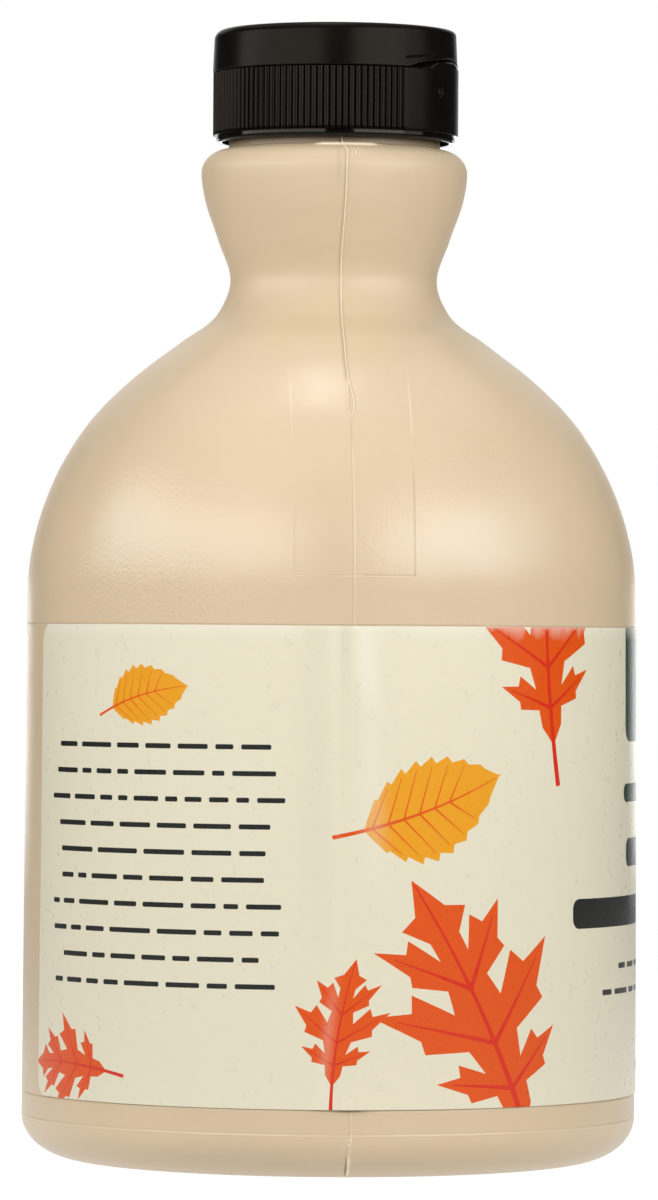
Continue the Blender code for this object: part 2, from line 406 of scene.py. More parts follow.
def add_node(tree, kind, inputs=(), **settings):
    """A node with its settings, each of its inputs given as a value or as the output that feeds it."""
    node = tree.nodes.new(kind)
    for name, value in settings.items():
        setattr(node, name, value)
    for name, value in dict(inputs).items():
        if isinstance(value, bpy.types.NodeSocket):
            tree.links.new(value, node.inputs[name])
        else:
            node.inputs[name].default_value = value
    return node


def map_range(tree, value, low, high, from_low=0.0, from_high=1.0, **settings):
    """The value taken from one range to another, from low to high."""
    inputs = {"Value": value, "From Min": from_low, "From Max": from_high, "To Min": low, "To Max": high}
    return add_node(tree, "ShaderNodeMapRange", inputs, **settings).outputs["Result"]


class Shader:
    """A Principled material with short ways to add the nodes that vary it."""

    def __init__(self, name, colour, roughness, specular=0.5):
        self.material = bpy.data.materials.new(name)
        self.material.use_nodes = True
        self.tree = self.material.node_tree
        self.shader = self.tree.nodes["Principled BSDF"]
        self.colour = colour
        self.shader.inputs["Base Color"].default_value = colour
        self.shader.inputs["Roughness"].default_value = roughness
        self.shader.inputs["Specular IOR Level"].default_value = specular
        self.place = self.add("ShaderNodeTexCoord").outputs["Object"]
        self.normal = None

    def add(self, kind, inputs=(), **settings):
        return add_node(self.tree, kind, inputs, **settings)

    def feed(self, name, output):
        """Links an output to one of the material's own inputs."""
        self.tree.links.new(output, self.shader.inputs[name])

    def to_range(self, value, low, high, from_low=0.0, from_high=1.0):
        return map_range(self.tree, value, low, high, from_low, from_high)

    def maths(self, operation, first, second):
        return self.add("ShaderNodeMath", {0: first, 1: second}, operation=operation).outputs["Value"]

    def noise(self, size, detail=2.0):
        """Noise with features of about this size in millimetres."""
        inputs = {"Vector": self.place, "Scale": 1 / (size * MM), "Detail": detail}
        return self.add("ShaderNodeTexNoise", inputs).outputs["Fac"]

    def specks(self, spacing, size, share):
        """1 on small round specks, a random share of those on a grid with this spacing."""
        cells = self.add("ShaderNodeTexVoronoi", {"Vector": self.place, "Scale": 1 / (spacing * MM)})
        near = self.to_range(cells.outputs["Distance"], 1.0, 0.0, size / spacing * 0.6, size / spacing)
        split = self.add("ShaderNodeSeparateColor", {"Color": cells.outputs["Color"]})
        return self.maths("MULTIPLY", near, self.maths("LESS_THAN", split.outputs["Red"], share))

    def by_height(self, low, high, below, above):
        """One value below the low height, in millimetres, and another above the high one."""
        split = self.add("ShaderNodeSeparateXYZ", {"Vector": self.place})
        return self.to_range(split.outputs["Z"], below, above, low * MM, high * MM)

    def vary_colour(self, fac, colour):
        """Mixes another colour in where fac is high, over what is there already."""
        inputs = {"A": self.colour, "B": colour, "Factor": fac}
        self.colour = self.add("ShaderNodeMix", inputs, data_type="RGBA").outputs["Result"]
        self.feed("Base Color", self.colour)

    def vary_by_values(self, name, most, pale, dark):
        """Mixes in one colour where the mesh's values are above 0 and another where they are below."""
        value = self.add("ShaderNodeAttribute", attribute_name=name).outputs["Fac"]
        self.vary_colour(self.to_range(value, 0.0, most), pale)
        self.vary_colour(self.to_range(value, 0.0, most, 0.0, -1.0), dark)

    def vary_roughness(self, fac, low, high):
        self.feed("Roughness", self.to_range(fac, low, high))

    def bump(self, height, depth):
        """Adds relief of this depth in millimetres."""
        inputs = {"Distance": depth * MM, "Height": height}
        if self.normal:
            inputs["Normal"] = self.normal
        self.normal = self.add("ShaderNodeBump", inputs).outputs["Normal"]
        self.feed("Normal", self.normal)


def shade(colour, factor):
    """The colour made lighter or darker by this factor."""
    return tuple(min(1.0, channel * factor) for channel in colour[:3]) + (1.0,)


def make_jug_plastic():
    """Tan satin polyethylene: cloudy colour, a fine orange-peel grain that fades on the neck and the foot."""
    look = Shader("jug_plastic_look", JUG_TAN, 0.36, specular=0.6)
    look.shader.inputs["Subsurface Weight"].default_value = 0.08
    look.shader.inputs["Subsurface Radius"].default_value = (1.0, 0.75, 0.5)
    look.shader.inputs["Subsurface Scale"].default_value = 0.002
    cloud = look.noise(28.0, detail=3.0)
    look.vary_colour(look.to_range(cloud, 0.0, 0.6, 0.45, 0.75), shade(JUG_TAN, 0.93))
    look.vary_colour(look.maths("MULTIPLY", look.specks(9.0, 0.2, 0.07), 0.3), srgb(120, 96, 68))
    # Pale and dark marks: the plastic's own, with painted highlights on the flashes and painted shade beside
    # them, at the label's edges and under the cap
    look.vary_by_values("pale", 0.85, srgb(255, 240, 212), srgb(96, 76, 52))
    on_neck = look.by_height(132, 142, 0.0, 0.6)
    dull = look.maths("ADD", look.maths("MULTIPLY", look.noise(3.0, detail=4.0), 0.4), on_neck)
    look.vary_roughness(dull, 0.27, 0.52)
    below_neck, above_foot = look.by_height(122, 132, 1.0, 0.2), look.by_height(12, 20, 0.3, 1.0)
    patchy = look.maths("MULTIPLY", look.to_range(look.noise(22.0), 0.15, 1.0, 0.4, 0.6), above_foot)
    grain = look.maths("MULTIPLY", look.noise(0.55, detail=1.0), look.maths("MULTIPLY", below_neck, patchy))
    look.bump(grain, 0.07)
    look.bump(look.noise(7.0, detail=1.0), 0.05)
    return look.material


def make_cap_plastic(name, low, high, specular):
    """Black satin polypropylene with dust specks, its roughness between low and high."""
    look = Shader(name, CAP_BLACK, 0.36, specular)
    look.shader.inputs["Specular Tint"].default_value = CAP_SHEEN
    look.vary_colour(look.to_range(look.noise(9.0), 0.0, 1.0, 0.4, 0.8), shade(CAP_BLACK, 1.5))
    look.vary_colour(look.maths("MULTIPLY", look.specks(3.4, 0.16, 0.05), 0.6), srgb(120, 118, 110))
    look.vary_roughness(look.noise(1.6, detail=4.0), low, high)
    look.bump(look.noise(0.3, detail=2.0), 0.008)
    look.bump(look.noise(6.0, detail=1.0), 0.03)
    return look.material


def make_print(name, colour):
    """Printed film: one ink with a faint grain, under a satin varnish, with painted highlights and shade on
    its wrinkles.
    """
    look = Shader(f"label_{name}_look", colour, 0.36)
    look.vary_colour(look.to_range(look.noise(0.8, detail=1.0), 0.0, 0.5, 0.3, 0.7), shade(colour, 0.975))
    look.vary_colour(look.to_range(look.noise(30.0), 0.0, 0.5, 0.4, 0.8), shade(colour, 0.965))
    # Painted highlights and painted shade on the label's wrinkles, and its pale top edge
    look.vary_by_values("wrinkle_light_and_edge", 0.5, PALE_FILM_AND_HIGHLIGHT, shade(colour, 0.8))
    look.vary_roughness(look.noise(2.0, detail=3.0), 0.24, 0.34)
    look.bump(look.noise(1.2, detail=1.0), 0.003)
    look.bump(look.noise(11.0, detail=1.0), 0.05)
    return look.material


# Jug

JUG_SIDE = np.array(sleek_curve(SIDE_STATIONS, 40, start_slope=(0, 1), end_slope=(0, 1)))


def side_radius(height):
    """The plain jug's radius at heights from its wall to its collar."""
    above = np.interp(height, JUG_SIDE[:, 1], JUG_SIDE[:, 0])
    return np.where(height < WALL_TOP_HEIGHT, wall_radius(height), above)


def jug_rows():
    """Radius and height of each row of the jug's mesh, from its underside to its neck's top."""
    dome_edge = PUSH_UP_RADIUS - 2
    underside = graded_steps((1.5, dome_edge, FOOT_INNER_RADIUS), (1.5, 0.6))
    dome = PUSH_UP_DEPTH - 0.6 * (underside / PUSH_UP_RADIUS) ** 2
    dome = dome * ease_off(underside, dome_edge, FOOT_INNER_RADIUS)
    foot = steps_between(FOOT_INNER_RADIUS, FOOT_OUTER_RADIUS, 0.9)
    turns = np.radians(graded_steps((-90, -20, 0), (2.2, 0.8)))
    heel_radius = FOOT_OUTER_RADIUS + (WALL_LOW_RADIUS - FOOT_OUTER_RADIUS) * np.cos(turns)
    heel_height = WALL_LOW_HEIGHT * (1 + np.sin(turns))
    heights = graded_steps(ROW_STOPS, ROW_SPACINGS)
    turns = np.radians(np.concatenate([steps_between(0, 40, 3.0), np.linspace(40, 90, 30)]))
    collar_radius = NECK_RADIUS + (COLLAR_RADIUS - NECK_RADIUS) * np.cos(turns)
    collar_height = COLLAR_HEIGHT + (COLLAR_TOP_HEIGHT - COLLAR_HEIGHT) * np.sin(turns)
    neck = np.linspace(COLLAR_TOP_HEIGHT + 0.3, NECK_TOP_HEIGHT, 9)
    neck_radius = np.full(len(neck), NECK_RADIUS)
    radii = [underside, foot, heel_radius, side_radius(heights), collar_radius, neck_radius, [9.0]]
    levels = [dome, foot * 0, heel_height, heights, collar_height, neck, [NECK_TOP_HEIGHT]]
    return np.concatenate(radii), np.concatenate(levels)


def jug_columns(radius):
    """Angles round from -X for a row of this radius. Near the parting plane each column keeps its own
    distance from the plane, so that the marks there get the same close columns at every height."""
    shrink = min(radius, NECK_RADIUS) / NECK_RADIUS
    seam_side = graded_steps((0.0, 2.8, 8.8, 10.4), (0.1, 0.4, 0.12))
    seam_side = np.concatenate([seam_side, [10.4, 10.9, 11.5]])
    handle_side = np.append(graded_steps((13.0, 0.9, 0.0), (0.65, 0.15)), 0.0)
    near = np.arcsin(seam_side * shrink / radius)
    far = math.pi - np.arcsin(handle_side * shrink / radius)
    middle = np.linspace(near[-1], far[0], 72)[1:-1]
    half = np.concatenate([near, middle, far])
    return np.concatenate([half, math.tau - half[-2:0:-1]])


def ripples(place, length, count, seed):
    """A gentle random waviness from -1 to 1, the sum of some waves with about this length."""
    draw = np.random.default_rng(seed)
    total = np.zeros(len(place))
    for _ in range(count):
        direction = draw.normal(size=3)
        direction *= math.tau / (length * draw.uniform(0.7, 1.6) * np.linalg.norm(direction))
        total += np.sin(place @ direction + draw.uniform(0, math.tau))
    return total / count


def seam_marks(side, height):
    """The trimmed seam on the plain side of the neck, with its forked tail and the fine line below it: how
    proud it stands, and how much paler, or darker below 0, it is than the plastic round it. The pale ridge
    and the fork's prongs are partly whitened plastic and partly painted highlight, and the dark lines beside
    them and inside the fork are painted shade."""
    off = side + np.interp(height, *zip(*SEAM_DRIFT))
    full = ease(height, TAIL_TOP_HEIGHT - 1.0, TAIL_TOP_HEIGHT + 0.5)
    wobble = 1 + 0.18 * np.sin(height * 1.7) * np.sin(height * 0.61 + 1.0)
    relief = SEAM_HEIGHT * full * wobble * hump(off, SEAM_HALF_WIDTH) - 0.08 * full * hump(off - 0.34, 0.14)
    # The ridge is pale partly as whitened plastic and partly as painted highlight; the lines beside it get
    # painted shade
    pale = full * (0.95 * hump(off, 0.1) - 0.4 * hump(off - 0.22, 0.1) - 0.25 * hump(off + 0.2, 0.09))
    share = np.clip((height - TAIL_TIP_HEIGHT) / (TAIL_TOP_HEIGHT - TAIL_TIP_HEIGHT), 0, 1)
    apart = np.interp(share, TAIL_SHARES, TAIL_HALF_WIDTHS)
    fork = ease(height, TAIL_TIP_HEIGHT - 0.15, TAIL_TIP_HEIGHT + 0.1) * (1 - full)
    for way in (-1, 1):
        edge = off - way * apart
        relief += 0.12 * fork * hump(edge, 0.13)
        # Painted highlights on the fork's prongs, painted shade beside and between them
        pale += fork * (0.75 * hump(edge, 0.09) - 0.16 * hump(edge - way * 0.2, 0.1))
        pale -= 0.22 * fork * hump(off - way * apart * 0.4, 0.1)
    relief -= 0.04 * fork * hump(off, 0.3)
    below = ease_off(height, TAIL_TIP_HEIGHT - 0.6, TAIL_TIP_HEIGHT)
    plain = ease_off(height, 114.0, 118.0)
    relief += 0.03 * below * hump(off, 0.1)
    pale += below * (0.4 * plain * hump(off, 0.09) - 0.15 * hump(off - 0.2, 0.14))
    pale -= below * 0.12 * (1 - plain) * hump(off, 0.1)
    return relief, pale


def foot_marks(side, height):
    """The flash that the pinched end of the mould leaves on the heel, with a crack beside it and two small
    beads, and the line round the foot. The flash is pale partly as whitened plastic and partly as painted
    highlight, and the crack is dark with painted shade."""
    line = side - 0.1 + 0.12 * (6.0 - height) / 6.0
    foot = plateau(height, 0.3, 0.8, 3.2, 4.0) + 0.3 * ease_off(height, 5.2, 6.0)
    relief = 0.2 * foot * hump(line, 0.16) - 0.16 * foot * hump(line - 0.34, 0.13)
    crack = ease_off(height, 1.6, 3.2)
    # Painted highlight on the flash and painted shade in the crack beside it
    pale = foot * (1.2 * hump(line, 0.14)) - (0.25 + 0.5 * crack) * foot * hump(line - 0.3, 0.13)
    beads = hump(np.hypot(side + 0.02, height - 6.5), 0.2) + hump(np.hypot(side - 0.06, height - 5.7), 0.17)
    base_line = height - BASE_LINE_HEIGHT
    relief += 0.14 * beads + 0.07 * hump(base_line, 0.11)
    pale += 0.9 * beads + 0.36 * hump(base_line, 0.1) - 0.1 * hump(base_line - 0.25, 0.12)
    return relief, pale


def ledge_marks(side, height):
    """The thin flash on the ledge under the cap and the short pinched wrinkles below it, with painted
    highlights.
    """
    reach = plateau(side, -6.6, -4.5, 3.0, 5.2)
    line = height - LEDGE_HEIGHT
    relief = 0.34 * reach * hump(line, 0.12)
    # Painted highlight along the flash
    pale = 1.3 * reach * hump(line, 0.14)
    pinch = plateau(height, 163.2, 164.6, 165.2, 165.5) * hump(side + 1.6, 1.3)
    wave = np.sin(side * 15.0 + 1.6 * np.sin(height * 2.3)) * np.sin(side * 4.1 + height * 1.9)
    relief += 0.12 * pinch * wave
    # Painted highlights on the wrinkles' crests
    pale += 1.6 * pinch * np.maximum(wave - 0.1, 0)
    pale -= 0.12 * plateau(height, 158.0, 161.0, 165.0, 165.4) * hump(side - 0.75, 0.3)
    return relief, pale


def neck_shade(radius, height):
    """The neck a little darker from about 130 mm up, and painted shade, much darker, in the narrow gap under
    the cap.
    """
    in_gap = ease(height, 165.6, 165.8) * (radius < NECK_RADIUS + 0.5)
    # Painted shade in the narrow gap under the cap's overhang
    painted_cap_shade = (0.8 + 0.2 * ease(height, 166.0, 167.2)) * in_gap
    return -0.09 * ease(height, 130.0, 142.0) * (1 - in_gap) - painted_cap_shade


def insert_marks(side, height):
    """The outline that a mould insert leaves on the shoulder, round a face that stands a hair lower."""
    front_edge, back_edge = side + INSERT_FRONT, side - INSERT_BACK
    within = plateau(side, -INSERT_FRONT - 0.1, -INSERT_FRONT + 0.1, INSERT_BACK - 0.1, INSERT_BACK + 0.1)
    tall = ease(height, INSERT_LOW_HEIGHT - 0.1, INSERT_LOW_HEIGHT + 0.1)
    tall = tall * ease_off(height, INSERT_TOP_HEIGHT - 8, INSERT_TOP_HEIGHT)
    high, low = ease(height, 116.0, 120.0), ease_off(height, 108.0, 116.0)
    relief = -0.04 * within * tall
    relief += tall * (0.04 * high * hump(front_edge, 0.12) + 0.012 * hump(back_edge, 0.2))
    pale = tall * (0.4 * high * hump(front_edge, 0.1) - 0.3 * low * hump(front_edge, 0.12))
    pale += tall * (0.14 * high * hump(back_edge, 0.14) + 0.04 * low * hump(back_edge, 0.16))
    foot = within * (0.3 + 0.7 * ease_off(side, -2.2, -1.0))
    line = height - INSERT_LOW_HEIGHT
    relief += foot * (0.03 * hump(line + 0.1, 0.12) - 0.03 * hump(line - 0.12, 0.1))
    pale += foot * (0.22 * hump(line + 0.12, 0.1) - 0.3 * hump(line - 0.08, 0.1))
    return relief, pale


def label_marks(side, height):
    """The shallow step that the label sits in, and painted shade in a thin dark line above and below it."""
    above = height - LABEL_LOW_HEIGHT - LABEL_TALL - 0.12
    below = height - LABEL_LOW_HEIGHT + 0.1
    relief = -0.06 * hump(above, 0.12) - 0.06 * hump(below, 0.14)
    # Painted shade: thin dark lines at the label's edges, wider under its lifted lower edge beside the seam
    pale = -0.4 * hump(above, 0.1) - 0.3 * hump(below, 0.1)
    return relief, pale - 0.45 * hump(below + 0.2, 0.2) * hump(side, 2.6)


def jug_marks(place):
    """How far the moulded surface stands proud of the plain jug at points on it, and how pale it is there."""
    x, side, height = place.T
    radius = np.hypot(x, side)
    on_plain_side = ease(-x, 2.0, 8.0)
    label_top = LABEL_LOW_HEIGHT + LABEL_TALL
    under_label = plateau(height, LABEL_LOW_HEIGHT, LABEL_LOW_HEIGHT + 1.5, label_top - 1.5, label_top)
    wavy = 0.1 * ripples(place, 34.0, 9, seed=5) + 0.03 * ripples(place, 11.0, 9, seed=8)
    relief = wavy * plateau(height, 1.0, 5.0, COLLAR_HEIGHT, COLLAR_TOP_HEIGHT)
    pale = np.zeros(len(place))
    for marks in (seam_marks, insert_marks, ledge_marks):
        raised, paler = marks(side, height)
        relief += raised * on_plain_side
        pale += paler * on_plain_side
    handle_seam = hump(side, 0.2) * ease(x, 2.0, 8.0) * ease(height, 3.0, 8.0)
    relief += 0.12 * handle_seam * ease_off(height, COLLAR_HEIGHT + 1, COLLAR_TOP_HEIGHT)
    pale += 0.2 * handle_seam + neck_shade(radius, height)
    on_heel = (height < LABEL_LOW_HEIGHT) * ease(height, 0.2, 0.8) * ease(radius, 40.0, 42.0)
    plain_side = np.where(x < 0, side, FAR_OFF)
    raised, paler = foot_marks(plain_side, height)
    relief += raised * on_heel
    pale += paler * on_heel
    raised, paler = label_marks(plain_side, height)
    relief = (relief + raised) * (1 - under_label)
    under = ease_off(height, 0.0, 3.2) * ease_off(radius, 26.0, 34.0)
    relief += under * (0.35 * hump(side, 0.3) + 0.12 * hump(np.abs(side) - 1.1, 0.4))
    return relief, pale + paler


def make_body():
    """The jug without its handle."""
    radii, heights = jug_rows()
    along = np.stack([np.gradient(radii), np.gradient(heights)])
    widening, rise = along / np.linalg.norm(along, axis=0)
    angles = np.array([jug_columns(radius) for radius in radii])
    rings = from_side(angles, radii[:, None], heights[:, None])
    outward = from_side(angles, rise[:, None], -widening[:, None])
    relief = jug_marks(rings.reshape(-1, 3))[0].reshape(rings.shape[:2])
    low, high = (0, 0, PUSH_UP_DEPTH), (0, 0, NECK_TOP_HEIGHT)
    return add_skin("jug_body", rings + outward * relief[..., None], low, high)


def handle_route(steps):
    """(reach, height) points of the handle's middle line."""
    return np.array(sleek_curve(HANDLE_STATIONS, steps))


def handle_frames(route):
    """The outward direction and the swell of the handle at each point of its route."""
    along = np.gradient(route, axis=0)
    along /= np.linalg.norm(along, axis=1)[:, None]
    outward = np.stack([-along[:, 1], along[:, 0]], axis=1)
    middle = np.abs(np.linspace(-1, 1, len(route)))
    return outward, 1 + (HANDLE_ROOT_SWELL - 1) * middle**2


def make_handle():
    """The handle's own closed shape, its two ends inside the jug."""
    route = handle_route(HANDLE_STEPS)
    outward, swell = handle_frames(route)
    turn = np.linspace(0, math.tau, HANDLE_SIDES, endpoint=False)
    turn = turn - 0.35 * np.sin(2 * turn) / 2
    across = HANDLE_WIDTH / 2 * swell[:, None] * np.sin(turn)
    out = HANDLE_DEPTH / 2 * swell[:, None] * np.cos(turn)
    seam = 0.14 * hump(across, 0.35)
    out = out + seam * np.sign(np.cos(turn))
    x = route[:, :1] + outward[:, :1] * out
    z = route[:, 1:] + outward[:, 1:] * out
    rings = np.stack([x, across, z], axis=-1)
    rings += 0.06 * ripples(rings.reshape(-1, 3), 14.0, 9, seed=3).reshape(rings.shape[:2])[..., None]
    ends = [(reach, 0, height) for reach, height in (route[0], route[-1])]
    return add_skin("jug_handle", rings, *ends)


def distance_to_body(place):
    """About how far each point is from the plain jug's surface, negative inside it."""
    height = place[:, 2]
    radius = side_radius(height)
    slope = (side_radius(height + 0.2) - side_radius(height - 0.2)) / 0.4
    return (np.hypot(place[:, 0], place[:, 1]) - radius) / np.sqrt(1 + slope**2)


def distance_to_handle(place):
    """About how far each point is from the handle's surface, negative inside it."""
    route = handle_route(HANDLE_STEPS * 4)
    outward, swell = handle_frames(route)
    nearest = np.argmin(((place[:, None, [0, 2]] - route[None]) ** 2).sum(-1), axis=1)
    away = place[:, [0, 2]] - route[nearest]
    out = (away * outward[nearest]).sum(-1)
    half_depth, half_width = HANDLE_DEPTH / 2 * swell[nearest], HANDLE_WIDTH / 2 * swell[nearest]
    scaled = np.hypot(out / half_depth, place[:, 1] / half_width)
    steep = np.hypot(out / half_depth**2, place[:, 1] / half_width**2)
    return scaled * (scaled - 1) / np.maximum(steep, 1e-6)


def blended_distance(place, reach):
    """Distance to the body and the handle together, with a fillet of this reach between them."""
    body, handle = distance_to_body(place), distance_to_handle(place)
    near = np.maximum(reach - np.abs(body - handle), 0) / reach
    return np.minimum(body, handle) - near**2 * reach / 4


def fillet_handle(mesh):
    """Moves the points near the handle's roots out onto a smooth fillet, tighter towards the collar's top."""
    points = mesh_points(mesh)
    x, _, height = points.T
    chosen = np.flatnonzero((x > 10) & (height > 94) & (height < COLLAR_TOP_HEIGHT - 0.5))
    place = points[chosen]
    body, handle = distance_to_body(place), distance_to_handle(place)
    reach = FILLET_REACH * (1 - 0.9 * ease(place[:, 2], COLLAR_HEIGHT - 3.0, COLLAR_HEIGHT + 1.5))
    close = np.abs(body - handle) < reach
    chosen, place, reach = chosen[close], place[close], reach[close]
    proud = np.minimum(body, handle)[close]
    softness = 1 - np.abs(body - handle)[close] / reach
    for _ in range(FILLET_PASSES):
        here = blended_distance(place, reach)
        moved = [blended_distance(place + axis, reach) for axis in np.eye(3) * PROBE]
        slope = (np.stack(moved, axis=1) - here[:, None]) / PROBE
        length = np.maximum((slope**2).sum(1), 0.25)
        place = place + slope * ((proud - here) / length * 0.8)[:, None]
    points[chosen] = place
    smooth_points(mesh, points, chosen, softness)
    mesh.vertices.foreach_set("co", (points * MM).ravel())
    mesh.update()


def smooth_points(mesh, points, chosen, softness):
    """Moves the chosen points towards the middle of their neighbours, again and again."""
    edges = np.empty(len(mesh.edges) * 2, dtype=np.int64)
    mesh.edges.foreach_get("vertices", edges)
    edges = edges.reshape(-1, 2)
    ends, others = np.concatenate([edges, edges[:, ::-1]]).T
    own = np.isin(ends, chosen)
    ends, others = ends[own], others[own]
    neighbours = np.bincount(ends, minlength=len(points))[chosen]
    for _ in range(FILLET_SMOOTHING):
        for axis in range(3):
            total = np.bincount(ends, points[others, axis], minlength=len(points))[chosen]
            points[chosen, axis] += 0.5 * softness * (total / neighbours - points[chosen, axis])


def make_jug(material):
    """The jug, one piece with its handle, joined by a fillet."""
    body, handle = make_body(), make_handle()
    union = body.modifiers.new("handle", "BOOLEAN")
    union.operation = "UNION"
    union.solver = "MANIFOLD"
    union.object = handle
    joined = body.evaluated_get(bpy.context.evaluated_depsgraph_get())
    mesh = bpy.data.meshes.new_from_object(joined)
    for helper in (body, handle):
        bpy.data.objects.remove(helper, do_unlink=True)
    jug = add_object("jug_shell", mesh)
    fillet_handle(mesh)
    add_values(mesh, "pale", jug_marks(mesh_points(mesh))[1])
    mesh.shade_smooth()
    mesh.materials.clear()
    mesh.materials.append(material)
    return jug


# Cap

def thumb_rise(angle):
    """How far the thumb edge has risen at this angle from the front: none at the panel's ends, most on
    either side of the front, and less at the front itself, where the lid's tab hangs down."""
    share = np.clip(1 - np.abs(angle) / PANEL_HALF_ANGLE, 0, 1)
    arch = (1 - (1 - share) ** 3) * ease(share, 0.0, 0.12)
    return THUMB_RISE * arch - TAB_DROP * ease_off(np.abs(angle), 0.0, TAB_HALF_ANGLE)


def rib_columns():
    """Angles round the skirt, and how deep the groove is at each, from 0 to 1."""
    stops = (-PANEL_HALF_ANGLE, DIMPLE_ANGLE - 0.05, DIMPLE_ANGLE + 0.05, PANEL_HALF_ANGLE)
    panel = graded_steps(stops, (0.012, 0.005, 0.012))
    ribs = round((math.tau - 2 * PANEL_HALF_ANGLE) / RIB_PITCH)
    shares = np.array(RIB_SHARES)
    angles = PANEL_HALF_ANGLE + (np.arange(ribs)[:, None] + shares).ravel() * RIB_PITCH
    depth = np.tile(1 - np.sin(math.pi * shares) ** 0.7, ribs)
    return np.concatenate([panel, angles]), np.concatenate([panel * 0, depth])


def skirt_rows(angles, groove):
    """Radius and height of each row of the skirt, from inside the thumb lip down to the bore."""
    wall = CAP_RADIUS - CAP_RIB_DEPTH * groove
    panel = np.clip(1 - np.abs(angles) / PANEL_HALF_ANGLE, 0, 1)
    roundness = np.interp(panel, LIP_SHARES, LIP_ROUNDNESS)
    lip_low = CAP_JOINT_HEIGHT - 0.3
    lip_height = CAP_JOINT_HEIGHT + 1.04 * thumb_rise(angles) - lip_low
    rows = [(17.0, CAP_JOINT_HEIGHT), (LIP_INNER_RADIUS - 0.25, CAP_JOINT_HEIGHT)]
    for turn in np.radians(LIP_TURNS):
        radius = LIP_INNER_RADIUS - 0.2 + (wall - LIP_INNER_RADIUS + 0.2) * math.cos(turn) ** roundness
        rows.append((radius, lip_low + lip_height * math.sin(turn) ** roundness))
    dimple_top, dimple_low = DIMPLE_HEIGHT + 0.9, DIMPLE_HEIGHT - 0.9
    stops = (CAP_JOINT_HEIGHT - 0.5, dimple_top, dimple_low, CAP_RIBS_LOW_HEIGHT + 0.2)
    for height in graded_steps(stops, (0.4, 0.1, 0.4)):
        away = np.hypot((angles - DIMPLE_ANGLE) * CAP_RADIUS, height - DIMPLE_HEIGHT)
        rows.append((wall - DIMPLE_DEPTH * hump(away, 0.4) + DIMPLE_RIM * hump(away - 0.6, 0.16), height))
    for turn in np.radians(np.linspace(0, 90, 4)):
        rows.append((wall - 0.1 + 0.1 * math.cos(turn), CAP_RIBS_LOW_HEIGHT + 0.1 - 0.1 * math.sin(turn)))
    return rows + [
        (CAP_BAND_RADIUS, CAP_RIBS_LOW_HEIGHT),
        (CAP_BAND_RADIUS, CAP_RIBS_LOW_HEIGHT - 0.08),
        (CAP_BAND_RADIUS, CAP_LOW_HEIGHT + 0.1),
        (CAP_BAND_RADIUS, CAP_LOW_HEIGHT),
        (CAP_BAND_RADIUS - 0.1, CAP_RING_LOW_HEIGHT + 0.04),
        (CAP_BAND_RADIUS - 0.14, CAP_RING_LOW_HEIGHT + 0.01),
        (CAP_BORE_RADIUS + 0.04, CAP_RING_LOW_HEIGHT),
        (CAP_BORE_RADIUS, CAP_RING_LOW_HEIGHT + 0.04),
        (CAP_BORE_RADIUS, CAP_JOINT_HEIGHT - CAP_DECK - 0.3),
        (CAP_BORE_RADIUS - 0.3, CAP_JOINT_HEIGHT - CAP_DECK),
    ]


def make_cap_skirt(satin, gloss, ribs):
    """The cap's base: a ribbed wall with a smooth thumb panel, over a glossy band, open for the neck."""
    angles, groove = rib_columns()
    rings = np.array([from_front(angles, radius, height) for radius, height in skirt_rows(angles, groove)])
    top, under = (0, 0, CAP_JOINT_HEIGHT), (0, 0, CAP_JOINT_HEIGHT - CAP_DECK)
    skirt = add_skin("cap_base", rings - (0, CAP_SHIFT, 0), top, under, (satin, gloss, ribs))
    below_ribs = (CAP_RIBS_LOW_HEIGHT + 0.02) * MM
    on_lip = (CAP_JOINT_HEIGHT + 0.35) * MM
    smooth_panel = (CAP_RADIUS * math.cos(PANEL_HALF_ANGLE) + CAP_SHIFT) * MM
    for face in skirt.data.polygons:
        if face.center.z < below_ribs or face.center.z > on_lip:
            face.material_index = 1
        elif face.center.y > -smooth_panel:
            face.material_index = 2
    skirt.data.set_sharp_from_angle(angle=math.radians(40))
    return skirt


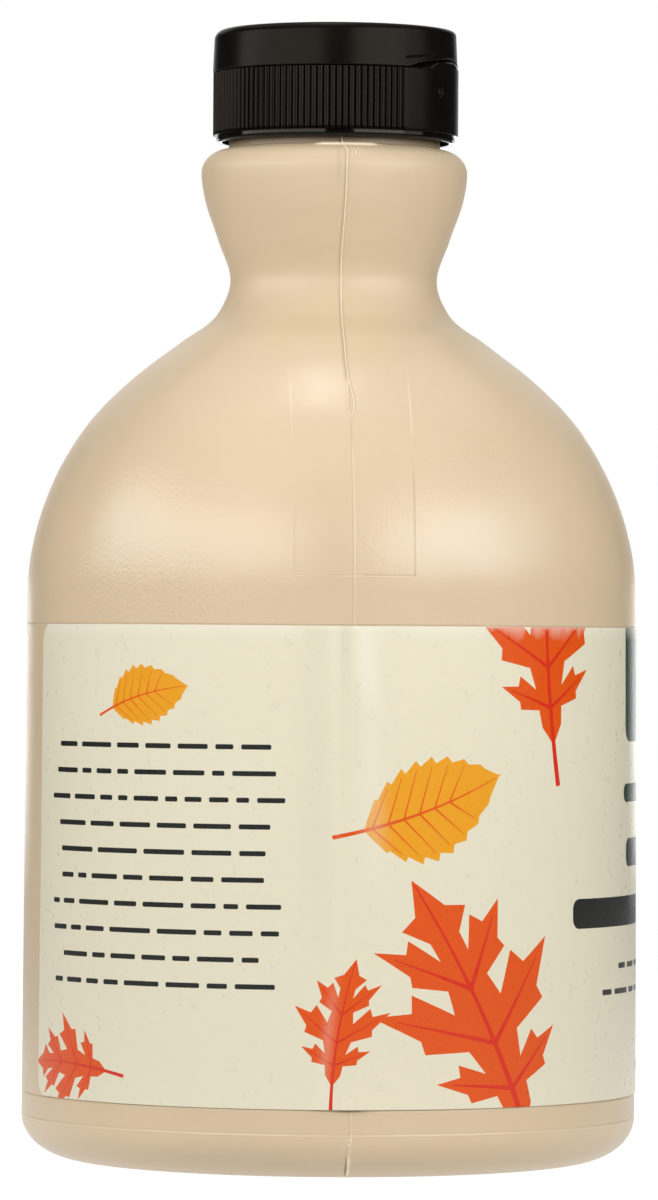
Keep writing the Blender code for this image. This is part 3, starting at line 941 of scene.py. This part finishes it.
def make_cap_lid(material):
    """The shut flip lid, arched up over the thumb panel, its top edge sharper in front than at the back."""
    angles = np.radians(graded_steps((-180, -66, -20, 180), (1.5, 0.5, 1.5)))
    rise = thumb_rise(angles)
    floor = CAP_JOINT_HEIGHT + LID_GAP
    edge = floor + rise
    corner = 0.12 + 0.04 * rise
    from_middle = np.degrees(-angles)
    (start, start_height), (end, end_height) = CREASE_START, CREASE_END
    crease = plateau(from_middle, end, end + 2, start - 1, start)
    crease_height = np.interp(from_middle, (end, start), (end_height, start_height))
    crease_width = 0.11 + 0.06 * ease_off(from_middle, 41.0, 47.0)
    turned = (1 - np.cos(angles)) / 2
    rounding = LID_FRONT_ROUNDING + (LID_BACK_ROUNDING - LID_FRONT_ROUNDING) * turned
    inner = LIP_INNER_RADIUS - 0.4
    rows = [(inner - 0.1, floor - 0.02), (inner, floor), (inner, edge + 0.03)]
    for turn in np.radians(np.linspace(-90, 0, 5)):
        radius = LID_LOW_RADIUS - corner + corner * math.cos(turn)
        rows.append((radius, edge + corner + corner * math.sin(turn)))
    wall_top = CAP_TOP_HEIGHT - rounding
    for step in graded_steps((0.02, 0.08, 0.34, 1.01), (0.03, 0.008, 0.06)):
        height = edge + corner + (wall_top - edge - corner) * step
        share = (height - floor) / (CAP_TOP_HEIGHT - floor)
        radius = LID_LOW_RADIUS + (LID_HIGH_RADIUS - LID_LOW_RADIUS) * share
        radius = radius - CREASE_DEPTH * crease * hump(height - crease_height, crease_width)
        for bead_angle, bead_height in CREASE_BEADS:
            away = np.hypot(np.radians(from_middle - bead_angle) * LID_LOW_RADIUS, height - bead_height)
            radius = radius + BEAD_HEIGHT * hump(away, 0.2)
        rows.append((radius, height))
    wall_radius_top = rows[-1][0]
    for turn in np.radians(np.linspace(0, 90, 12)[1:]):
        radius = wall_radius_top - rounding * (1 - math.cos(turn))
        rows.append((radius, wall_top + rounding * math.sin(turn)))
    for radius in (16.8, 16.4, 16.0, 12.0, 8.0, 4.0):
        rows.append((radius, CAP_TOP_HEIGHT - LID_TOP_SINK * ease_off(radius, 16.0, 16.8)))
    rings = np.array([from_front(angles, radius, height) for radius, height in rows]) - (0, LID_SHIFT, 0)
    under, top = (0, 0, floor - 0.02), (0, 0, CAP_TOP_HEIGHT - LID_TOP_SINK)
    lid = add_skin("cap_flip_lid", rings, under, top, (material,))
    lid.data.set_sharp_from_angle(angle=math.radians(50))
    return lid


# Label

def densify(corners, spacing):
    """A closed outline with points no further apart than the spacing."""
    points = []
    for start, end in zip(corners, np.roll(corners, -1, axis=0)):
        count = max(1, math.ceil(math.dist(start, end) / spacing))
        points.extend(start + (end - start) * i / count for i in range(count))
    return np.array(points)


def rounded_box(low, high, corner, steps=5):
    """The outline of a box with rounded corners, each corner given by its steps."""
    low, high = np.array(low, float), np.array(high, float)
    points = []
    for quarter, (x, y) in enumerate(((1, 1), (0, 1), (0, 0), (1, 0))):
        centre = np.where((x, y), high - corner, low + corner)
        for step in range(steps + 1):
            turn = math.pi / 2 * (quarter + step / steps)
            points.append(centre + corner * np.array([math.cos(turn), math.sin(turn)]))
    return np.array(points)


def place_leaf(points, base, heading, length, bend):
    """Leaf coordinates, along and across, as places on the flat label."""
    along, across = np.asarray(points, float).T
    across = across + bend * along**2
    turn = math.radians(heading)
    return np.stack(
        [
            base[0] + length * (along * math.cos(turn) - across * math.sin(turn)),
            base[1] + length * (along * math.sin(turn) + across * math.cos(turn)),
        ],
        axis=1,
    )


LOBE = ((0.2, -0.13), (0.55, -0.22), (0.6, -0.12), (1.0, 0.0), (0.7, 0.09), (0.72, 0.24), (0.36, 0.14))
LOBE_STATIONS = ((0.16, 0.3, 66), (0.34, 0.46, 56), (0.56, 0.36, 46))


def lobed_leaf():
    """A leaf with three pairs of pointed lobes: its outline and its veins, on a midrib one long."""
    half = [(0.0, -0.012), (0.07, -0.06)]
    veins = [ribbon((-0.2, 0), (0.98, 0), 0.014, 0.003)]
    for station, length, angle in LOBE_STATIONS:
        turn = math.radians(angle)
        ahead, aside = (math.cos(turn), -math.sin(turn)), (math.sin(turn), math.cos(turn))
        for p, q in LOBE:
            along = station + length * (p * ahead[0] + q * aside[0])
            half.append((along, length * (p * ahead[1] + q * aside[1])))
        for way in (-1, 1):
            tip = (station + length * 0.8 * ahead[0], way * length * 0.8 * ahead[1])
            veins.append(ribbon((station - 0.01, 0), tip, 0.009, 0.002))
    half += [(0.76, -0.06), (0.84, -0.13), (0.87, -0.06), (1.0, 0.0)]
    return mirrored(half), veins


def mirrored(half):
    """A whole outline from its half on one side of the midrib."""
    return half + [(x, -y) for x, y in reversed(half[:-1])]


def ribbon(start, end, half_start, half_end):
    """A thin straight shape that tapers from its start to its end."""
    start, end = np.array(start, float), np.array(end, float)
    side = np.array([start[1] - end[1], end[0] - start[0]]) / math.dist(start, end)
    near, far = side * half_start, side * half_end
    return [start + near, start - near, end - far, end + far]


def toothed_leaf():
    """An egg-shaped leaf with a toothed edge: its outline and its veins, on a midrib one long."""
    teeth = 9
    half = [(0.0, -0.01)]
    veins = [ribbon((-0.22, 0), (0.97, 0), 0.014, 0.003)]
    def edge(tooth, share):
        station = (tooth + share) / teeth
        return station, 0.31 * math.sin(math.pi * station**0.85) ** 0.8

    for tooth in range(teeth):
        for share, out in ((0.15, 0.94), (0.95, 1.1)):
            station, width = edge(tooth, share)
            half.append((station, -width * out))
        if 0 < tooth < teeth - 2:
            for way in (-1, 1):
                veins.append(ribbon((station - 0.17, 0), (station - 0.01, way * width * 0.9), 0.006, 0.002))
    half.append((1.02, 0.0))
    return mirrored(half), veins


# Kind, place of the stem's end, heading in degrees, length and bend of each leaf
LEAVES = (
    (lobed_leaf, (-49.0, -3.0), 112, 44.0, 0.10),
    (lobed_leaf, (-43.0, 58.0), 98, 36.0, -0.10),
    (toothed_leaf, (-77.0, 44.0), 14, 24.0, 0.12),
    (lobed_leaf, (-82.0, 4.0), 86, 20.0, -0.12),
    (toothed_leaf, (-121.0, 63.0), 22, 15.0, -0.15),
    (lobed_leaf, (-122.0, 5.0), 172, 21.0, 0.12),
    (lobed_leaf, (58.0, 74.0), 262, 38.0, 0.10),
    (toothed_leaf, (50.0, 12.0), 60, 25.0, -0.12),
    (lobed_leaf, (76.0, 4.0), 105, 26.0, 0.12),
    (toothed_leaf, (137.0, 66.0), 190, 17.0, 0.15),
)
LEAF_COLOURS = {lobed_leaf: ("orange", "vein_red"), toothed_leaf: ("amber", "orange")}
# Colour, lower left and upper right corners, and corner radius of the blocks below the drop
BLOCKS = (
    ("green", (-20, 47.9), (20, 50.9), 1.4),
    ("ink", (-18.5, 37.4), (18.5, 42.0), 1.6),
    ("ink", (-38, 27.9), (-2.5, 32.7), 1.6),
    ("ink", (2.5, 27.9), (38, 32.7), 1.6),
)


def bar(left, right, height, tall, corner, steps):
    """A plain bar whose middle is at this height."""
    return rounded_box((left, height - tall / 2), (right, height + tall / 2), corner, steps)


def word_bars(centre, width, height, tall, draw):
    """A line of plain bars with the lengths of words, centred."""
    lengths = []
    while sum(lengths) + WORD_GAP * len(lengths) < width:
        lengths.append(draw.uniform(WORD_SHORTEST, WORD_LONGEST))
    scale = (width - WORD_GAP * (len(lengths) - 1)) / sum(lengths)
    left = centre - width / 2
    bars = []
    for length in lengths:
        bars.append(bar(left, left + length * scale, height, tall, tall * 0.3, 3))
        left += length * scale + WORD_GAP
    return [("ink", outline) for outline in bars]


def print_shapes():
    """(colour, outline) of each printed shape on the flat label, in the order of printing. The first number
    of a place is along the label from its front, towards +X, and the second is up from its lower edge."""
    draw = random.Random(11)
    shapes = []
    for leaf, *place in LEAVES:
        colour, vein_colour = LEAF_COLOURS[leaf]
        outline, veins = leaf()
        shapes.append((colour, place_leaf(densify(np.array(outline), 0.03), *place)))
        for vein in veins:
            shapes.append((vein_colour, place_leaf(densify(np.array(vein), 0.04), *place)))
    for line in range(10):
        shapes += word_bars(-113.5, draw.uniform(39, 48), 57.0 - 4.2 * line, 0.8, draw)
    shapes.append(("green", rounded_box((-19, 57.7), (19, LABEL_TALL + 4), 2.5)))
    shapes.append(("cream", drop_outline((0, 66.0), 5.2)))
    shapes += [(colour, rounded_box(*box)) for colour, *box in BLOCKS]
    for height, width in ((21.5, 45), (17.4, 58)):
        shapes += word_bars(0, width, height, 0.9, draw)
    shapes.append(("ink", rounded_box((-9, 3.6), (9, 5.6), 0.8)))
    return shapes + ruled_panel((92.0, 8.0), (130.0, 60.0), draw)


def drop_outline(centre, radius):
    """A plain drop: a round belly drawn up to a point."""
    points = []
    for turn in math.tau * np.arange(36) / 36:
        pull = max(0.0, math.sin(turn)) ** 3
        x = centre[0] + radius * math.cos(turn) * (1 - 0.55 * pull)
        points.append((x, centre[1] + radius * (math.sin(turn) + 0.75 * pull)))
    return np.array(points)


def ruled_panel(low, high, draw):
    """A plain ruled table: a thin frame, rules and bars."""
    line = 0.35
    shapes = [("ink", rounded_box(low, high, 0.4, 2))]
    inner_low, inner_high = np.add(low, line), np.subtract(high, line)
    shapes.append(("cream", rounded_box(inner_low, inner_high, 0.3, 2)))
    rows = 11
    pitch = (inner_high[1] - inner_low[1]) / rows
    left, right = inner_low[0] + 1.6, inner_high[0] - 1.6
    for row in range(rows):
        height = inner_low[1] + pitch * (row + 0.5)
        tall = 2.4 if row == rows - 1 else 1.1
        shapes.append(("ink", bar(left, left + draw.uniform(9, 19), height, tall, 0.3, 2)))
        shapes.append(("ink", bar(right - draw.uniform(3, 6), right, height, 1.1, 0.3, 2)))
        if row:
            level = inner_low[1] + pitch * row
            shapes.append(("ink", bar(inner_low[0] + 1.2, inner_high[0] - 1.2, level, 0.2, 0.05, 1)))
    return shapes


def inside(outline, places):
    """Whether each place is inside the outline."""
    x, y = places.T
    within = np.zeros(len(places), bool)
    low, high = outline.min(axis=0), outline.max(axis=0)
    near = np.flatnonzero(((places > low) & (places < high)).all(axis=1))
    x, y = x[near], y[near]
    hit = np.zeros(len(near), bool)
    for (x0, y0), (x1, y1) in zip(outline, np.roll(outline, -1, axis=0)):
        if y0 != y1:
            hit ^= ((y0 > y) != (y1 > y)) & (x < (x1 - x0) * (y - y0) / (y1 - y0) + x0)
    within[near] = hit
    return within


def label_relief(u, v):
    """Wrinkles of the film where it crosses the mould's seam, and its lower edge where it has lifted."""
    off = u - LABEL_SEAM
    down = LABEL_TALL - v
    relief = 0.09 * hump(off, 1.5)
    top = np.exp(-down / 13.0)
    relief += 0.22 * top * hump(off - 2.9 - 0.06 * down, 1.7)
    relief += 0.16 * top * hump(off + 3.4 - 0.05 * down, 1.4)
    relief -= 0.14 * hump(off + 1.5, 0.4) * ease_off(down, 8.0, 13.0)
    relief -= 0.1 * hump(off - 0.7, 0.45) * plateau(down, 7.0, 11.0, 18.0, 26.0)
    relief += 0.12 * hump(off + 3.0 + 0.12 * (16 - v), 1.1) * ease_off(v, 14.0, 24.0)
    relief += 0.22 * hump(off + 0.4, 3.2) * hump(v, 1.6)
    return relief


def label_wrinkle_light_and_edge(u, v):
    """Where the film has lifted off the wall beside the mould's seam and where it is drawn tight, painted
    highlights make it paler, above 0, and painted shade darker, below 0; its top edge gets a pale strip too."""
    off = u - LABEL_SEAM
    down = LABEL_TALL - v
    lean = 0.06 * down
    top = np.exp(-down / 15.0)
    wrinkle_light_and_edge = 0.95 * ease_off(down, 6.0, 15.0) * hump(off - 1.9 - lean, 1.9)
    wrinkle_light_and_edge += 0.35 * plateau(down, 6.0, 12.0, 30.0, 50.0) * hump(off - 2.6 - 0.03 * down, 1.8)
    wrinkle_light_and_edge += (0.12 + 0.3 * top) * hump(off + 3.1 - 0.02 * down, 1.0) * ease_off(down, 40.0, 60.0)
    wrinkle_light_and_edge -= 0.4 * ease_off(down, 30.0, 60.0) * hump(off + 6.2 - 0.02 * down, 2.6)
    wrinkle_light_and_edge -= (0.1 + 0.6 * top) * hump(off + 1.0, 1.0) * ease_off(down, 20.0, 30.0)
    wrinkle_light_and_edge -= 0.5 * hump(off + 1.75, 0.2) * ease_off(down, 8.0, 13.0)
    wrinkle_light_and_edge -= 0.5 * hump(off - 0.45, 0.2) * plateau(down, 8.0, 11.0, 18.0, 26.0)
    wrinkle_light_and_edge += 0.3 * hump(off + 3.0 + 0.12 * (16 - v), 0.9) * ease_off(v, 14.0, 24.0)
    wrinkle_light_and_edge += 0.8 * ease_off(down, 0.05, 0.5)
    return wrinkle_light_and_edge


def label_surface(places, out):
    """Points of the film in space, for places on the flat label and distances out from its inner face."""
    u, v = places.T
    height = LABEL_LOW_HEIGHT + v
    waves = 0.03 * ripples(np.stack([u, v, u * 0], axis=1), 26.0, 8, seed=21)
    radius = wall_radius(height) + LABEL_LIFT + out + label_relief(u, v) + waves + 0.03
    return from_front(u / WALL_LOW_RADIUS, radius, height)


def label_net():
    """The flat label cut into triangles along every printed edge: places, triangles and each one's colour."""
    box = rounded_box((-LABEL_HALF_LENGTH, 0), (LABEL_HALF_LENGTH, LABEL_TALL), LABEL_CORNER, 8)
    outline = densify(box, 0.8)
    shapes = print_shapes()
    places, edges = [], []
    for points in [outline] + [densify(shape, 0.9) for _, shape in shapes]:
        first = len(places)
        places.extend(map(tuple, points))
        edges.extend((first + i, first + (i + 1) % len(points)) for i in range(len(points)))
    tree = kdtree.KDTree(len(places))
    for i, (u, v) in enumerate(places):
        tree.insert((u, v, 0), i)
    tree.balance()
    near, far = LABEL_SEAM - LABEL_SEAM_REACH, LABEL_SEAM + LABEL_SEAM_REACH
    for u in graded_steps((-LABEL_HALF_LENGTH, near, far, LABEL_HALF_LENGTH), (1.6, 0.25, 1.6)):
        close = abs(u - LABEL_SEAM) < LABEL_SEAM_REACH
        for v in steps_between(1.0, LABEL_TALL, 1.0 if close else 2.2):
            if tree.find((u, v, 0))[2] > (0.12 if close else 0.35):
                places.append((u, v))
    flat, _, triangles, *_ = delaunay_2d_cdt([Vector(place) for place in places], edges, [], 0, 1e-5)
    flat = np.array([tuple(point) for point in flat])
    triangles = np.array(triangles)
    centres = flat[triangles].mean(axis=1)
    kept = inside(outline, centres)
    triangles, centres = triangles[kept], centres[kept]
    colours = np.zeros(len(triangles), int)
    names = list(PRINT_COLOURS)
    for colour, shape in shapes:
        colours[inside(shape, centres)] = names.index(colour)
    used = np.unique(triangles)
    renumber = np.zeros(len(flat), int)
    renumber[used] = np.arange(len(used))
    return flat[used], renumber[triangles], colours


def make_label(materials):
    """The wrap label: printed film with a thin pale edge, its print in faces of its own."""
    flat, triangles, colours = label_net()
    count = len(flat)
    sides = np.concatenate([triangles[:, [0, 1]], triangles[:, [1, 2]], triangles[:, [2, 0]]])
    keys = sides[:, 0] * count + sides[:, 1]
    rim = sides[~np.isin(keys, sides[:, 1] * count + sides[:, 0])]
    outer, inner = label_surface(flat, LABEL_THICKNESS), label_surface(flat, 0.0)
    faces = triangles.tolist() + (triangles[:, ::-1] + count).tolist()
    faces += [(b, a, a + count, b + count) for a, b in rim.tolist()]
    edge_index = list(PRINT_COLOURS).index("edge")
    label = add_mesh("wrap_label", np.vstack([outer, inner]), faces, materials, out=False)
    indices = np.concatenate([colours, np.full(len(triangles) + len(rim), edge_index)])
    label.data.polygons.foreach_set("material_index", indices.astype(np.int32))
    add_values(label.data, "wrinkle_light_and_edge", np.tile(label_wrinkle_light_and_edge(*flat.T), 2))
    across = label_surface(flat + (PROBE, 0), LABEL_THICKNESS) - outer
    upward = label_surface(flat + (0, PROBE), LABEL_THICKNESS) - outer
    normals = np.cross(across, upward)
    normals /= np.linalg.norm(normals, axis=1)[:, None]
    corners = np.empty((len(label.data.loops), 3))
    print_corners = len(triangles) * 3
    corners[:print_corners] = normals[triangles.ravel()]
    corners[print_corners : 2 * print_corners] = -normals[triangles[:, ::-1].ravel()]
    for face in label.data.polygons[2 * len(triangles) :]:
        corners[face.loop_start : face.loop_start + 4] = face.normal
    label.data.normals_split_custom_set(corners.tolist())
    return label


# Stage, lights and camera

def make_floor():
    """A pale round floor that fades out into the white of the world, clear from below."""
    bpy.ops.mesh.primitive_circle_add(
        vertices=96, radius=FLOOR_FAR, fill_type="NGON", location=(0, 0, -FLOOR_DROP * MM)
    )
    floor = bpy.context.object
    floor.name = "floor"
    material = bpy.data.materials.new("floor_white")
    material.use_nodes = True
    tree = material.node_tree
    tree.nodes.clear()
    place = add_node(tree, "ShaderNodeTexCoord").outputs["Object"]
    distance = add_node(tree, "ShaderNodeVectorMath", {0: place}, operation="LENGTH").outputs["Value"]
    fade = map_range(tree, distance, 0.0, 1.0, FLOOR_NEAR, FLOOR_FAR, interpolation_type="SMOOTHSTEP")
    rays = add_node(tree, "ShaderNodeLightPath").outputs
    glow = map_range(tree, distance, FLOOR_HEEL_GLOW, FLOOR_GLOW, FLOOR_HEEL_NEAR, FLOOR_HEEL_FAR)
    glow = map_range(tree, rays["Is Glossy Ray"], glow, FLOOR_GLOSS_GLOW)
    glow = map_range(tree, rays["Is Camera Ray"], glow, FLOOR_SEEN_GLOW)
    emission = add_node(tree, "ShaderNodeEmission", {"Strength": glow}).outputs["Emission"]
    white = (FLOOR_WHITE, FLOOR_WHITE, FLOOR_WHITE, 1)
    diffuse = add_node(tree, "ShaderNodeBsdfDiffuse", {"Color": white}).outputs["BSDF"]
    lit = add_node(tree, "ShaderNodeAddShader", {0: diffuse, 1: emission}).outputs["Shader"]
    below = add_node(tree, "ShaderNodeNewGeometry").outputs["Backfacing"]
    clear = add_node(tree, "ShaderNodeMath", {0: fade, 1: below}, operation="MAXIMUM").outputs["Value"]
    nothing = add_node(tree, "ShaderNodeBsdfTransparent").outputs["BSDF"]
    surface = add_node(tree, "ShaderNodeMixShader", {"Fac": clear, 1: lit, 2: nothing}).outputs["Shader"]
    add_node(tree, "ShaderNodeOutputMaterial", {"Surface": surface})
    floor.data.materials.append(material)


def make_world():
    """A white backdrop that itself lights the object only dimly."""
    world = bpy.data.worlds.new("studio")
    bpy.context.scene.world = world
    world.use_nodes = True
    tree = world.node_tree
    background = tree.nodes["Background"]
    background.inputs["Color"].default_value = (1, 1, 1, 1)
    seen = add_node(tree, "ShaderNodeLightPath").outputs["Is Camera Ray"]
    tree.links.new(map_range(tree, seen, WORLD_GLOW, 1.0), background.inputs["Strength"])


def make_lights():
    """Rectangular soft lights round the object, which the camera doesn't see. The ceiling shows only in what
    is glossy."""
    for name, (turn, distance, height, aim, width, tall, brightness) in PANELS.items():
        angle = CAMERA_TURN - math.radians(turn)
        location = Vector((-distance * math.cos(angle), distance * math.sin(angle), height))
        light = bpy.data.lights.new(name, "AREA")
        light.shape = "RECTANGLE"
        light.size = width
        light.size_y = tall
        light.energy = brightness * math.pi * width * tall
        lamp = add_object(name, light)
        lamp.location = location
        lamp.rotation_euler = (Vector((0, 0, aim)) - location).to_track_quat("-Z", "Y").to_euler()
        lamp.visible_camera = False
        lamp.visible_diffuse = name != "ceiling"


def make_camera():
    """The photograph's viewpoint: level with the shoulder, a little to the back of the parting plane."""
    camera = bpy.data.cameras.new("camera")
    camera.sensor_width = SENSOR
    camera.sensor_fit = "AUTO"
    camera.lens = SENSOR * CAMERA_DISTANCE_PX / IMAGE_TALL
    camera.clip_end = 20
    eye = add_object("camera", camera)
    toward_eye = Vector((-math.cos(CAMERA_TURN), math.sin(CAMERA_TURN), 0))
    left = Vector((0, 0, 1)).cross(toward_eye) * -1
    location = (toward_eye * CAMERA_DISTANCE + Vector((0, 0, EYE_LEVEL))) * MM
    aim = (left * AIM_SIDE + Vector((0, 0, AIM_HEIGHT))) * MM
    turn = (aim - location).to_track_quat("-Z", "Y").to_matrix().to_4x4()
    eye.matrix_world = Matrix.Translation(location) @ turn @ Matrix.Rotation(CAMERA_ROLL, 4, "Z")
    bpy.context.scene.camera = eye


def main():
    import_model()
    bpy.context.scene.view_settings.view_transform = "Standard"
    make_camera()
    make_world()
    make_lights()
    make_floor()
    cap_satin = make_cap_plastic("cap_satin_look", 0.25, 0.32, 0.075)
    cap_ribs = make_cap_plastic("cap_ribs_look", 0.1, 0.16, 0.068)
    cap_gloss = make_cap_plastic("cap_gloss_look", 0.05, 0.09, 0.17)
    prints = [make_print(name, colour) for name, colour in PRINT_COLOURS.items()]
    pieces = (
        (make_jug(make_jug_plastic()), "jug", "jug_plastic"),
        (make_cap_skirt(cap_satin, cap_gloss, cap_ribs), "cap_skirt", "cap_plastic"),
        (make_cap_lid(cap_satin), "cap_lid", "cap_plastic"),
        (make_label(prints), "label", "label_film"),
    )
    for piece, node, finish in pieces:
        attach(piece, "root")
        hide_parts(node)


main()
